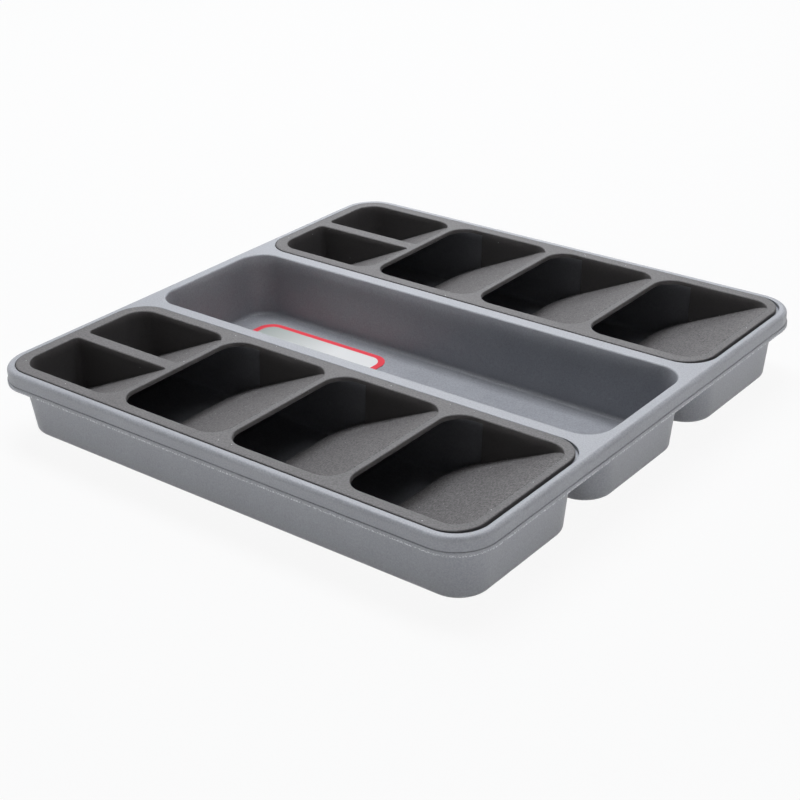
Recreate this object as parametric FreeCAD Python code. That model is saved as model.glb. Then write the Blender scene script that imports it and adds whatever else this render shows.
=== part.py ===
import FreeCAD
import Part
import math
import os

# Cutlery tray: one moulded tray with three troughs side by side, two lift-out inserts with sloping
# pockets in the front and rear troughs, and a card that lies on the floor of the middle trough.
# Millimetres. X runs along the troughs, Y across them from the front, Z up.
# The origin is under the middle of the tray, at the level that it stands on.

# Insert: a flat flange with a row of pockets, the first one divided in two
pocket_length = 89.6
pocket_width = 112.0
pocket_radius = 15.7
pocket_count = 4
pocket_land = 4.5
divider_width = 9.9
divider_corner_radius = 4.0
flange_width = 8.4
# Flange beyond the upper end of the last ramp
end_flange_width = 5.4
flange_thickness = 3.0
flange_corner_radius = 22.0
flange_edge_radius = 0.8
insert_sheet = 1.8
ramp_crest_radius = 4.0
ramp_crest_margin = 0.5
# Depth of a ramp's upper end under the flange's top
ramp_crest_depth = 0.5
side_wall_start = 22.5
# Height of a ramp's upper face over the trough's floor, at the left end of its pocket
ramp_foot_height = 8.0

# Seat of an insert in the tray
seat_gap = 0.5
seat_end_play = 2.4
seat_clearance = 0.1
flange_rise = 0.4
wall_clearance = 0.7
end_clearance = 3.3
corner_clearance = 1.5

# Tray
tray_height = 50.6
tray_wall = 2.0
tray_floor = 2.6
deck_thickness = 2.4
ledge_thickness = 2.0
draft_angle = 4.8
middle_width = 112.3
middle_radius = 19.0
trough_foot_radius = 4.0
trough_floor_radius = 3.0
trough_edge_radius = 1.2
recess_edge_radius = 0.5
middle_land = 9.8
rim_width = 5.5
rim_edge_radius = 3.0
skirt_depth = 12.0
bead_height = 3.0
bead_rise = 0.7
bead_edge_radius = 0.6

# Card on the floor of the middle trough
card_length = 122.0
card_end_gap = 24.0
card_side_gap = 18.2
card_radius = 13.0
card_thickness = 0.4

# Sizes and places that follow from those
draft_slope = math.tan(math.radians(draft_angle))
pocket_row_length = pocket_count * pocket_length + (pocket_count - 1) * pocket_land
insert_length = flange_width + pocket_row_length + end_flange_width
insert_width = pocket_width + 2 * flange_width
recess_length = insert_length + seat_gap + seat_end_play
recess_width = insert_width + 2 * seat_gap
recess_radius = flange_corner_radius + seat_gap
recess_depth = flange_thickness - flange_rise + seat_clearance
ledge_level = tray_height - recess_depth
deck_underside = tray_height - deck_thickness
deck_middle = tray_height - deck_thickness / 2
insert_top = tray_height + flange_rise
insert_left = seat_gap - recess_length / 2
trough_length = recess_length - 2 * (seat_gap + flange_width - insert_sheet - end_clearance)
row_width = pocket_width + 2 * (insert_sheet + wall_clearance)
row_radius = pocket_radius + insert_sheet + corner_clearance
row_offset = middle_width / 2 + middle_land + recess_width / 2
tray_length = recess_length + 2 * rim_width
tray_width = 2 * (row_offset + recess_width / 2 + rim_width)
rim_radius = recess_radius + rim_width
skirt_bottom = tray_height - skirt_depth
bead_top = skirt_bottom + bead_height
card_width = middle_width - 2 * card_side_gap
card_centre = card_end_gap + (card_length - trough_length) / 2
# The ramp falls by drop = (run - crest radius * tan(angle / 2)) * tan(angle), solved for tan(angle / 2)
crest_level = insert_top - ramp_crest_depth
ramp_drop = crest_level - tray_floor - ramp_foot_height
ramp_run = pocket_length - ramp_crest_margin
ramp_root = math.sqrt(ramp_run**2 + (ramp_drop - 2 * ramp_crest_radius) * ramp_drop)
half_tangent = ramp_drop / (ramp_run + ramp_root)
ramp_angle = 2 * math.atan(half_tangent)
ramp_slope = math.tan(ramp_angle)
crest_tangent = ramp_crest_radius * half_tangent
# How far a cutting solid stands clear of the face that it opens
cut_margin = 1.0
# How exactly an edge has to lie in a level to be counted in it
level_tolerance = 0.0001


# A rounded rectangle: its two ranges, and its corner radii from low X and low Y round to high Y
def plan_of(x_low, x_high, y_low, y_high, radii):
    return {"x": (x_low, x_high), "y": (y_low, y_high), "radii": radii}


def centred_plan(length, width, x_centre, y_centre, radius):
    x_half = length / 2
    y_half = width / 2
    return plan_of(x_centre - x_half, x_centre + x_half, y_centre - y_half, y_centre + y_half, [radius] * 4)


# Closed wire of a plan at one level. Growth moves the sides out and widens the corners with them,
# and shift moves the sides and keeps the corner radii.
def plan_wire(plan, growth, shift, level):
    move = growth + shift
    x_low, x_high = plan["x"][0] - move, plan["x"][1] + move
    y_low, y_high = plan["y"][0] - move, plan["y"][1] + move
    front_corners = [(x_low, y_low, 1, 1), (x_high, y_low, -1, 1)]
    rear_corners = [(x_high, y_high, -1, -1), (x_low, y_high, 1, -1)]
    arcs = []
    for index, (x, y, x_inward, y_inward) in enumerate(front_corners + rear_corners):
        radius = plan["radii"][index] + growth
        centre = FreeCAD.Vector(x + x_inward * radius, y + y_inward * radius, level)
        on_x_side = centre - FreeCAD.Vector(x_inward * radius, 0, 0)
        on_y_side = centre - FreeCAD.Vector(0, y_inward * radius, 0)
        middle = centre - FreeCAD.Vector(x_inward, y_inward, 0).normalize() * radius
        ends = [on_x_side, on_y_side] if index % 2 == 0 else [on_y_side, on_x_side]
        arcs.append((ends[0], middle, ends[1]))
    edges = []
    for index, (start, middle, end) in enumerate(arcs):
        next_start = arcs[(index + 1) % len(arcs)][0]
        edges.append(Part.Arc(start, middle, end).toShape())
        edges.append(Part.LineSegment(end, next_start).toShape())
    return Part.Wire(edges)


def upright(plan, growth, low, high):
    face = Part.Face(plan_wire(plan, growth, 0, low))
    return face.extrude(FreeCAD.Vector(0, 0, high - low))


# Solid that narrows downwards at the draft angle, with the plan's own size at the reference level
def drafted(plan, growth, low, high, reference):
    low_wire = plan_wire(plan, growth, (low - reference) * draft_slope, low)
    high_wire = plan_wire(plan, growth, (high - reference) * draft_slope, high)
    return Part.makeLoft([low_wire, high_wire], True, True)


def edges_at(shape, level):
    found = []
    for edge in shape.Edges:
        box = edge.BoundBox
        if max(abs(box.ZMin - level), abs(box.ZMax - level)) < level_tolerance:
            found.append(edge)
    return found


# Extrusion across Y of a closed outline, given by its edges in the XZ plane
def across(edges, y_low, y_high):
    face = Part.Face(Part.Wire(edges))
    face.translate(FreeCAD.Vector(0, y_low, 0))
    return face.extrude(FreeCAD.Vector(0, y_high - y_low, 0))


# Bowl of one trough and the hollow in it
def trough(plan, opening_level, bowl_top):
    bowl = drafted(plan, tray_wall, 0, bowl_top, opening_level)
    bowl = bowl.makeFillet(trough_foot_radius, edges_at(bowl, 0))
    hollow = drafted(plan, 0, tray_floor, opening_level + cut_margin, opening_level)
    hollow = hollow.makeFillet(trough_floor_radius, edges_at(hollow, tray_floor))
    return bowl, hollow


def make_rim():
    plan = centred_plan(tray_length, tray_width, 0, 0, rim_radius)
    rim = upright(plan, 0, skirt_bottom, tray_height)
    rim = rim.makeFillet(rim_edge_radius, edges_at(rim, tray_height))
    bead = upright(plan, bead_rise, skirt_bottom, bead_top)
    bead = bead.makeFillet(bead_edge_radius, edges_at(bead, bead_top))
    space_below = upright(plan, -tray_wall, skirt_bottom - cut_margin, deck_underside)
    return rim.fuse(bead).cut(space_below)


def make_tray():
    middle_plan = centred_plan(trough_length, middle_width, 0, 0, middle_radius)
    bowl, hollow = trough(middle_plan, tray_height, deck_middle)
    solids = [bowl]
    hollows = [hollow]
    for y_centre in (-row_offset, row_offset):
        recess_plan = centred_plan(recess_length, recess_width, 0, y_centre, recess_radius)
        solids.append(upright(recess_plan, tray_wall, ledge_level - ledge_thickness, deck_middle))
        hollows.append(upright(recess_plan, 0, ledge_level, tray_height + cut_margin))
        row_plan = centred_plan(trough_length, row_width, 0, y_centre, row_radius)
        bowl, hollow = trough(row_plan, ledge_level, ledge_level - ledge_thickness / 2)
        solids.append(bowl)
        hollows.append(hollow)
    tray = make_rim().fuse(solids).cut(hollows).removeSplitter()
    return round_openings(tray)


# Rounds the upper edges of the middle trough and of the two recesses beside it
def round_openings(tray):
    middle_edges = []
    recess_edges = []
    for edge in edges_at(tray, tray_height):
        box = edge.BoundBox
        if max(abs(box.YMin), abs(box.YMax)) < (middle_width + middle_land) / 2:
            middle_edges.append(edge)
        elif max(abs(box.XMin), abs(box.XMax)) < recess_length / 2 + level_tolerance:
            if max(abs(box.YMin), abs(box.YMax)) < row_offset + recess_width / 2 + level_tolerance:
                recess_edges.append(edge)
    tray = tray.makeFillet(recess_edge_radius, recess_edges)
    return tray.makeFillet(trough_edge_radius, middle_edges)


# Level of a ramp's upper face: it falls from the pocket's right end towards its left end
def ramp_level(pocket_right, x):
    crest = pocket_right - ramp_crest_margin - crest_tangent
    return crest_level - (crest - x) * ramp_slope


# Bent strip of sheet: the ramp, its rounded crest and a level end that runs into the flange
def ramp_strip(pocket_left, pocket_right, y_low, y_high):
    crest_centre = FreeCAD.Vector(pocket_right - ramp_crest_margin, 0, crest_level - ramp_crest_radius)
    under_radius = ramp_crest_radius - insert_sheet
    turned = [FreeCAD.Vector(-math.sin(turn), 0, math.cos(turn)) for turn in (0, ramp_angle / 2, ramp_angle)]
    over = [crest_centre + direction * ramp_crest_radius for direction in turned]
    under = [crest_centre + direction * under_radius for direction in reversed(turned)]
    foot_x = pocket_left - flange_width
    foot_over = FreeCAD.Vector(foot_x, 0, ramp_level(pocket_right, foot_x))
    foot_under = foot_over - turned[2] * insert_sheet
    land_over = FreeCAD.Vector(pocket_right + insert_sheet, 0, crest_level)
    land_under = land_over - turned[0] * insert_sheet
    edges = [
        Part.LineSegment(land_over, over[0]).toShape(),
        Part.Arc(*over).toShape(),
        Part.LineSegment(over[2], foot_over).toShape(),
        Part.LineSegment(foot_over, foot_under).toShape(),
        Part.LineSegment(foot_under, under[0]).toShape(),
        Part.Arc(*under).toShape(),
        Part.LineSegment(under[2], land_under).toShape(),
        Part.LineSegment(land_under, land_over).toShape(),
    ]
    return across(edges, y_low, y_high)


# Wedge between a ramp and the flange, from where a pocket's upright walls begin
def wall_wedge(pocket_right, wall_start, y_low, y_high):
    high = insert_top - flange_thickness / 2
    low = ramp_level(pocket_right, wall_start) - insert_sheet / 2
    end = wall_start + (high - low) / ramp_slope
    corners = [FreeCAD.Vector(x, 0, z) for x, z in ((wall_start, low), (end, high), (wall_start, high))]
    sides = zip(corners, corners[1:] + corners[:1])
    return across([Part.LineSegment(a, b).toShape() for a, b in sides], y_low, y_high)


# Pockets of one insert, each with its plan and the place where its upright walls begin
def insert_pockets(y_centre):
    y_low = y_centre - pocket_width / 2
    y_high = y_centre + pocket_width / 2
    small = divider_corner_radius
    large = pocket_radius
    pockets = []
    for column in range(pocket_count):
        left = insert_left + flange_width + column * (pocket_length + pocket_land)
        right = left + pocket_length
        if column == 0:
            front = plan_of(left, right, y_low, y_centre - divider_width / 2, [large, large, small, small])
            rear = plan_of(left, right, y_centre + divider_width / 2, y_high, [small, small, large, large])
            pockets.append((front, left - flange_width))
            pockets.append((rear, left - flange_width))
        else:
            whole = plan_of(left, right, y_low, y_high, [large] * 4)
            pockets.append((whole, left + side_wall_start))
    return pockets


def make_insert(y_centre):
    y_low = y_centre - insert_width / 2
    y_high = y_centre + insert_width / 2
    x_centre = insert_left + insert_length / 2
    plan = centred_plan(insert_length, insert_width, x_centre, y_centre, flange_corner_radius)
    flange = upright(plan, 0, insert_top - flange_thickness, insert_top)
    hollows = []
    sheets = []
    for plan, wall_start in insert_pockets(y_centre):
        left, right = plan["x"]
        lowest = ramp_level(right, left) - 2 * insert_sheet
        hollow = drafted(plan, 0, lowest, insert_top + cut_margin, insert_top)
        shell = drafted(plan, insert_sheet, lowest, insert_top, insert_top)
        walls = shell.cut(hollow)
        hollows.append(hollow)
        sheets.append(ramp_strip(left, right, y_low, y_high).common(shell))
        sheets.append(wall_wedge(right, wall_start, y_low, y_high).common(walls))
    flange = flange.cut(hollows)
    flange = flange.makeFillet(flange_edge_radius, edges_at(flange, insert_top))
    return flange.fuse(sheets).removeSplitter()


def make_card():
    plan = centred_plan(card_length, card_width, card_centre, 0, card_radius)
    return upright(plan, 0, tray_floor, tray_floor + card_thickness)


def export(name, shape):
    print(name, "solids", len(shape.Solids), "valid", shape.isValid(), "volume", round(shape.Volume, 1))
    shape.exportStep("parts/" + name + ".step")


os.makedirs("parts", exist_ok=True)
export("tray", make_tray())
export("front_insert", make_insert(-row_offset))
export("rear_insert", make_insert(row_offset))
export("card", make_card())
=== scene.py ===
import math

import bpy
from mathutils import Matrix, Vector


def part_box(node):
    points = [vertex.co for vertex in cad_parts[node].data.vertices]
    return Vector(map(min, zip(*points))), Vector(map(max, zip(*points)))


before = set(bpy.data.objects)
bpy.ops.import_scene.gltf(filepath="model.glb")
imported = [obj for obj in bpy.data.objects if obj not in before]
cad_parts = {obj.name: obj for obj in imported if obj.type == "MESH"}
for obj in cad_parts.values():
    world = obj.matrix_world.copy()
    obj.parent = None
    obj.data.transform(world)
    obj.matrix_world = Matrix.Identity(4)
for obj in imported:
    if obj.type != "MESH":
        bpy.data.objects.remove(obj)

scene = bpy.context.scene
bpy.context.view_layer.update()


# helpers for node trees: a value that is a socket is linked, any other is set

def addNode(tree, kind, inputs=None, **settings):
    node = tree.nodes.new(kind)
    for name, value in settings.items():
        setattr(node, name, value)
    for key, value in (inputs or {}).items():
        socket = node.inputs[key]
        if isinstance(value, bpy.types.NodeSocket):
            tree.links.new(value, socket)
        else:
            socket.default_value = value
    return node


def newMaterial(name):
    material = bpy.data.materials.new(name)
    material.use_nodes = True
    material.node_tree.nodes.clear()
    return material, material.node_tree


def mathNode(tree, operation, first, second):
    node = addNode(tree, "ShaderNodeMath", {0: first, 1: second}, operation=operation)
    return node.outputs[0]


def vectorNode(tree, operation, *operands):
    node = addNode(tree, "ShaderNodeVectorMath", dict(enumerate(operands)), operation=operation)
    return node.outputs["Value" if operation == "LENGTH" else "Vector"]


def axesOf(tree, vector):
    return addNode(tree, "ShaderNodeSeparateXYZ", {0: vector}).outputs


def noiseNode(tree, place, size, detail, roughness=0.5):
    inputs = {"Vector": place, "Scale": 1.0 / size, "Detail": detail, "Roughness": roughness}
    return addNode(tree, "ShaderNodeTexNoise", inputs).outputs["Fac"]


def rangeNode(tree, value, oldEnds, newEnds):
    inputs = {"Value": value}
    inputs["From Min"], inputs["From Max"] = oldEnds
    inputs["To Min"], inputs["To Max"] = newEnds
    return addNode(tree, "ShaderNodeMapRange", inputs).outputs["Result"]


def blendNode(tree, share, first, second):
    return rangeNode(tree, share, (0.0, 1.0), (first, second))


def mixColour(tree, share, first, second):
    colourSockets = {0: share, 6: first, 7: second}
    return addNode(tree, "ShaderNodeMix", colourSockets, data_type="RGBA").outputs[2]


# 1 for the camera and for mirror images, 0 for the light that falls on things

def seenNode(tree):
    path = addNode(tree, "ShaderNodeLightPath").outputs
    seen = mathNode(tree, "MAXIMUM", path["Is Camera Ray"], path["Is Glossy Ray"])
    return mathNode(tree, "MAXIMUM", seen, path["Is Transmission Ray"])


# how far a point lies inside a rounded rectangle, seen from above

def insetNode(tree, place, low, high, radius):
    centre = (low + high) / 2
    half = (high - low) / 2
    corner = (half.x - radius, half.y - radius, 1.0)  # the last keeps heights out of the length
    folded = vectorNode(tree, "ABSOLUTE", vectorNode(tree, "SUBTRACT", place, centre))
    past = vectorNode(tree, "SUBTRACT", folded, corner)
    outside = vectorNode(tree, "LENGTH", vectorNode(tree, "MAXIMUM", past, (0, 0, 0)))
    axes = axesOf(tree, past)
    inside = mathNode(tree, "MINIMUM", mathNode(tree, "MAXIMUM", axes[0], axes[1]), 0.0)
    return mathNode(tree, "SUBTRACT", radius, mathNode(tree, "ADD", outside, inside))


# moulded plastic with a spark-eroded grain, a cloudy tone and dust specks in loose clusters

trayPlastic = {
    "colour": (0.298, 0.306, 0.330, 1.0),
    "cloudColour": (0.318, 0.326, 0.350, 1.0),
    "grainSize": 0.0011,      # m across the largest grains
    "grainDepth": 0.00006,
    "grainTone": 0.16,        # share by which the grain lightens and darkens the colour
    "wallGrain": 0.8,         # share of the grain on steep walls
    "cloudSize": 0.035,
    "roughness": (0.38, 0.48),
    "specular": 0.5,
    "dustSpacing": 0.012,
    "dustRadius": 0.00030,
    "dustShare": 0.6,         # share of the specks kept where they are thickest
    "dustColour": (0.62, 0.62, 0.63, 1.0),
}

insertPlastic = {
    "colour": (0.097, 0.092, 0.092, 1.0),
    "cloudColour": (0.108, 0.103, 0.103, 1.0),
    "grainSize": 0.0013,
    "grainDepth": 0.0003,
    "grainTone": 0.68,
    "wallGrain": 0.12,
    "cloudSize": 0.03,
    "roughness": (0.62, 0.74),
    "specular": 0.3,
    "dustSpacing": 0.006,
    "dustRadius": 0.00032,
    "dustShare": 0.7,
    "dustColour": (0.6, 0.6, 0.6, 1.0),
}

# what both plastics share; the ends are noise values taken as the lowest and the highest
plasticFinish = {
    "grainDetail": 2.0,
    "grainRoughness": 0.7,
    "grainEnds": (0.3, 0.7),
    "grainBump": 0.6,
    "cloudDetail": 3.0,
    "cloudEnds": (0.35, 0.65),
    "roughnessEnds": (0.3, 0.7),
    "clusterDetail": 1.0,
    "clusterEnds": (0.4, 0.65),
    "wallToLevel": (0.4, 0.8),   # how far a face looks up, from a steep wall to a ramp
}

# the inserts' flange, finer and a little smoother than the ramps
flangeSheen = {
    "depths": (0.0004, 0.0001),   # m under the insert's top between which the finish changes
    "roughness": 0.5,
    "grainShare": 0.45,
}

# painted highlight along the lower edge of the tray's bead, broken into patches
beadPaintedHighlight = {
    "cornerRadius": 0.0287,
    "footDepth": 0.012,            # m from the tray's top down to the bead's lower edge
    "heights": (0.00075, 0.0015),  # m over that edge between which the painted highlight ends
    "insets": (0.0002, 0.0006),    # m in from the tray's outline between which it ends
    "patchSize": 0.0008,
    "patchDetail": 1.0,
    "patchEnds": (0.45, 0.6),
    "colour": (0.64, 0.65, 0.67, 1.0),
}


# painted highlight: lightens the bead's lower edge in broken patches where light catches it
def paintedHighlightMask(tree, place, values):
    low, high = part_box("tray")
    foot = high.z - values["footDepth"]
    inset = insetNode(tree, place, low, high, values["cornerRadius"])
    outer = rangeNode(tree, inset, values["insets"], (1.0, 0.0))
    levels = [foot + height for height in values["heights"]]
    under = rangeNode(tree, axesOf(tree, place)[2], levels, (1.0, 0.0))
    patchNoise = noiseNode(tree, place, values["patchSize"], values["patchDetail"])
    patches = rangeNode(tree, patchNoise, values["patchEnds"], (0.0, 1.0))
    return mathNode(tree, "MULTIPLY", mathNode(tree, "MULTIPLY", outer, under), patches)


def dustMask(tree, place, values, finish):
    spacing = values["dustSpacing"]
    cells = addNode(tree, "ShaderNodeTexVoronoi", {"Vector": place, "Scale": 1.0 / spacing}).outputs
    near = mathNode(tree, "LESS_THAN", cells["Distance"], values["dustRadius"] / spacing)
    pick = addNode(tree, "ShaderNodeSeparateColor", {"Color": cells["Color"]}).outputs[0]
    cluster = noiseNode(tree, place, values["cloudSize"], finish["clusterDetail"])
    share = rangeNode(tree, cluster, finish["clusterEnds"], (0.0, values["dustShare"]))
    return mathNode(tree, "MULTIPLY", near, mathNode(tree, "LESS_THAN", pick, share))


def mouldedPlastic(name, values, finish, paintedHighlight=None, sheen=None):
    material, tree = newMaterial(name)
    coordinates = addNode(tree, "ShaderNodeTexCoord").outputs
    place = coordinates["Object"]
    facing = axesOf(tree, coordinates["Normal"])[2]
    grainShare = rangeNode(tree, facing, finish["wallToLevel"], (values["wallGrain"], 1.0))
    grain = noiseNode(tree, place, values["grainSize"], finish["grainDetail"], finish["grainRoughness"])
    cloud = noiseNode(tree, place, values["cloudSize"], finish["cloudDetail"])
    cloudShare = rangeNode(tree, cloud, finish["cloudEnds"], (0.0, 1.0))
    body = mixColour(tree, cloudShare, values["colour"], values["cloudColour"])
    rough = rangeNode(tree, cloud, finish["roughnessEnds"], values["roughness"])
    toneEnds = (1.0 - values["grainTone"], 1.0 + values["grainTone"])
    tone = rangeNode(tree, grain, finish["grainEnds"], toneEnds)
    tone = blendNode(tree, grainShare, 1.0, tone)
    if sheen:
        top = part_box("front_insert")[1].z
        levels = [top - depth for depth in sheen["depths"]]
        flat = rangeNode(tree, axesOf(tree, place)[2], levels, (0.0, 1.0))
        rough = blendNode(tree, flat, rough, sheen["roughness"])
        finerEnds = (1.0 - sheen["grainShare"], 1.0 + sheen["grainShare"])
        finer = rangeNode(tree, tone, (0.0, 2.0), finerEnds)
        tone = blendNode(tree, flat, tone, finer)
    toned = vectorNode(tree, "MULTIPLY", body, tone)
    colour = mixColour(tree, dustMask(tree, place, values, finish), toned, values["dustColour"])
    # paints the highlight on the bead's lower edge
    if paintedHighlight:
        colour = mixColour(tree, paintedHighlightMask(tree, place, paintedHighlight), colour, paintedHighlight["colour"])
    strength = mathNode(tree, "MULTIPLY", grainShare, finish["grainBump"])
    bumpInputs = {"Strength": strength, "Distance": values["grainDepth"], "Height": grain}
    shader = addNode(tree, "ShaderNodeBsdfPrincipled", {
        "Base Color": colour,
        "Roughness": rough,
        "Specular IOR Level": values["specular"],
        "Normal": addNode(tree, "ShaderNodeBump", bumpInputs).outputs["Normal"],
    })
    addNode(tree, "ShaderNodeOutputMaterial", {"Surface": shader.outputs[0]})
    return material


# coated card: a red border round a blank pale field, with painted shade that darkens the field towards
# its left end

cardSheet = {
    "fieldRadius": 0.0095,
    "sideBorder": 0.0050,
    "longBorder": 0.0042,
    "borderBlur": 0.0002,      # m on either side of the border's inner edge
    "border": (0.86, 0.06, 0.085, 1.0),
    "field": (0.84, 0.84, 0.82, 1.0),
    "fieldPaintedShade": (0.36, 0.40, 0.37, 1.0),
    "paintedShadeShare": 0.65,        # share of the card's length over which the painted shade fades
    "fibreSize": 0.0012,
    "fibreDetail": 3.0,
    "fibreEnds": (0.3, 0.7),
    "fibreBump": 0.2,
    "fibreDepth": 0.00005,
    "roughness": (0.28, 0.42),
}


def coatedCard(name, values):
    material, tree = newMaterial(name)
    low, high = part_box("card")
    place = addNode(tree, "ShaderNodeTexCoord").outputs["Object"]
    margin = Vector((values["sideBorder"], values["longBorder"], 0.0))
    inset = insetNode(tree, place, low + margin, high - margin, values["fieldRadius"])
    inField = rangeNode(tree, inset, (-values["borderBlur"], values["borderBlur"]), (0.0, 1.0))
    paintedShadeEnds = (low.x, low.x + values["paintedShadeShare"] * (high.x - low.x))
    # painted shade: the field darkens towards the card's left end
    paintedShade = rangeNode(tree, axesOf(tree, place)[0], paintedShadeEnds, (1.0, 0.0))
    field = mixColour(tree, paintedShade, values["field"], values["fieldPaintedShade"])
    fibre = noiseNode(tree, place, values["fibreSize"], values["fibreDetail"])
    bumpInputs = {"Strength": values["fibreBump"], "Distance": values["fibreDepth"], "Height": fibre}
    shader = addNode(tree, "ShaderNodeBsdfPrincipled", {
        "Base Color": mixColour(tree, inField, values["border"], field),
        "Roughness": rangeNode(tree, fibre, values["fibreEnds"], values["roughness"]),
        "Normal": addNode(tree, "ShaderNodeBump", bumpInputs).outputs["Normal"],
    })
    addNode(tree, "ShaderNodeOutputMaterial", {"Surface": shader.outputs[0]})
    return material


def dress(node, material):
    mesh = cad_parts[node].data
    mesh.materials.clear()
    mesh.materials.append(material)


trayMaterial = mouldedPlastic("trayPlastic", trayPlastic, plasticFinish, paintedHighlight=beadPaintedHighlight)
insertMaterial = mouldedPlastic("insertPlastic", insertPlastic, plasticFinish, sheen=flangeSheen)
dress("tray", trayMaterial)
dress("front_insert", insertMaterial)
dress("rear_insert", insertMaterial)
dress("card", coatedCard("cardSheet", cardSheet))
print("materials on", sorted(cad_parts))


# floor: pale, nearly white to the camera with the object's shadow left in it

floorSheet = {
    "half": 6.0,
    "drop": 0.0002,
    "colour": (0.62, 0.62, 0.62, 1.0),
    "whiteShare": 0.92,
}


def makeFloor(values):
    half = values["half"]
    level = -values["drop"]
    corners = [(-half, -half, level), (half, -half, level), (half, half, level), (-half, half, level)]
    mesh = bpy.data.meshes.new("floor")
    mesh.from_pydata(corners, [], [(0, 1, 2, 3)])
    floor = bpy.data.objects.new("floor", mesh)
    scene.collection.objects.link(floor)
    material, tree = newMaterial("floorPaper")
    share = mathNode(tree, "MULTIPLY", seenNode(tree), values["whiteShare"])
    paper = addNode(tree, "ShaderNodeBsdfDiffuse", {"Color": values["colour"]}).outputs[0]
    white = addNode(tree, "ShaderNodeEmission", {"Strength": 1.0}).outputs[0]
    mixed = addNode(tree, "ShaderNodeMixShader", {0: share, 1: paper, 2: white}).outputs[0]
    addNode(tree, "ShaderNodeOutputMaterial", {"Surface": mixed})
    mesh.materials.append(material)


makeFloor(floorSheet)


# light: a lamp high on the left, weaker ones high on the right and behind,
# and a dim room that is bright just over the floor

roomLight = {
    "sky": 0.01,
    "horizon": 9.4,
    "horizonHeight": 0.1,      # sine of the angle over the floor at which the bright band ends
    "sideShare": (1.0, 1.17),  # band on the left and on the right
    "white": 1.0,              # backdrop, as the camera and reflections see it
}
lampColour = (0.93, 0.955, 1.0)
lamps = {
    "key": {"place": (-0.65, 0.47, 2.1), "size": (1.6, 0.75), "power": 49.0},
    "top": {"place": (0.5, 0.5, 2.1), "size": (1.0, 0.6), "power": 5.0},
    "back": {"place": (-0.95, 1.5, 1.2), "size": (1.2, 1.2), "power": 11.0},
}


def makeRoom(values):
    world = bpy.data.worlds.new("room")
    world.use_nodes = True
    tree = world.node_tree
    tree.nodes.clear()
    axes = axesOf(tree, addNode(tree, "ShaderNodeTexCoord").outputs["Generated"])
    band = rangeNode(tree, axes[2], (0.0, values["horizonHeight"]), (values["horizon"], 0.0))
    side = rangeNode(tree, axes[0], (-1.0, 1.0), values["sideShare"])
    light = mathNode(tree, "ADD", mathNode(tree, "MULTIPLY", band, side), values["sky"])
    strength = blendNode(tree, seenNode(tree), light, values["white"])
    back = addNode(tree, "ShaderNodeBackground", {"Color": (1, 1, 1, 1), "Strength": strength})
    addNode(tree, "ShaderNodeOutputWorld", {"Surface": back.outputs[0]})
    scene.world = world


# puts a lamp or a camera in its place; it looks along the opposite of back

def placeObject(name, data, place, right, back):
    turn = Matrix((right, back.cross(right), back)).transposed().to_4x4()
    thing = bpy.data.objects.new(name, data)
    thing.matrix_world = Matrix.Translation(place) @ turn
    scene.collection.objects.link(thing)
    return thing


def makeLamp(name, values):
    data = bpy.data.lights.new(name, "AREA")
    data.shape = "RECTANGLE"
    data.size, data.size_y = values["size"]
    data.energy = values["power"]
    data.color = lampColour
    place = Vector(values["place"])
    back = place.normalized()
    right = (Vector((1.0, 0.0, 0.0)) - back * back.x).normalized()
    placeObject(name, data, place, right, back)


makeRoom(roomLight)
for lampName, lampValues in lamps.items():
    makeLamp(lampName, lampValues)
print("floor and light ready")


# camera: place in metres, angles in degrees, focal length in pixels of the frame

cameraView = {
    "place": (0.6431, -0.7999, 0.5200),
    "azimuth": 38.376,
    "elevation": 26.869,
    "roll": -1.586,
    "focalPixels": 1626.3,
    "centrePixels": (418.6, 398.0),   # where the line of sight meets the picture, from its upper left
    "framePixels": 800,
    "sensorWidth": 36.0,              # mm
    "farEnd": 50.0,
}


def makeCamera(values):
    azimuth = math.radians(values["azimuth"])
    elevation = math.radians(values["elevation"])
    roll = math.radians(values["roll"])
    level = math.cos(elevation)
    back = Vector((math.sin(azimuth) * level, -math.cos(azimuth) * level, math.sin(elevation)))
    flatRight = Vector((math.cos(azimuth), math.sin(azimuth), 0.0))
    right = flatRight * math.cos(roll) + back.cross(flatRight) * math.sin(roll)
    frameSize = values["framePixels"]
    data = bpy.data.cameras.new("camera")
    data.sensor_fit = "HORIZONTAL"
    data.sensor_width = values["sensorWidth"]
    data.lens = values["focalPixels"] / frameSize * values["sensorWidth"]
    data.shift_x = 0.5 - values["centrePixels"][0] / frameSize
    data.shift_y = values["centrePixels"][1] / frameSize - 0.5
    data.clip_end = values["farEnd"]
    scene.camera = placeObject("camera", data, Vector(values["place"]), right, back)


makeCamera(cameraView)
scene.view_settings.view_transform = "Standard"
print("camera ready")
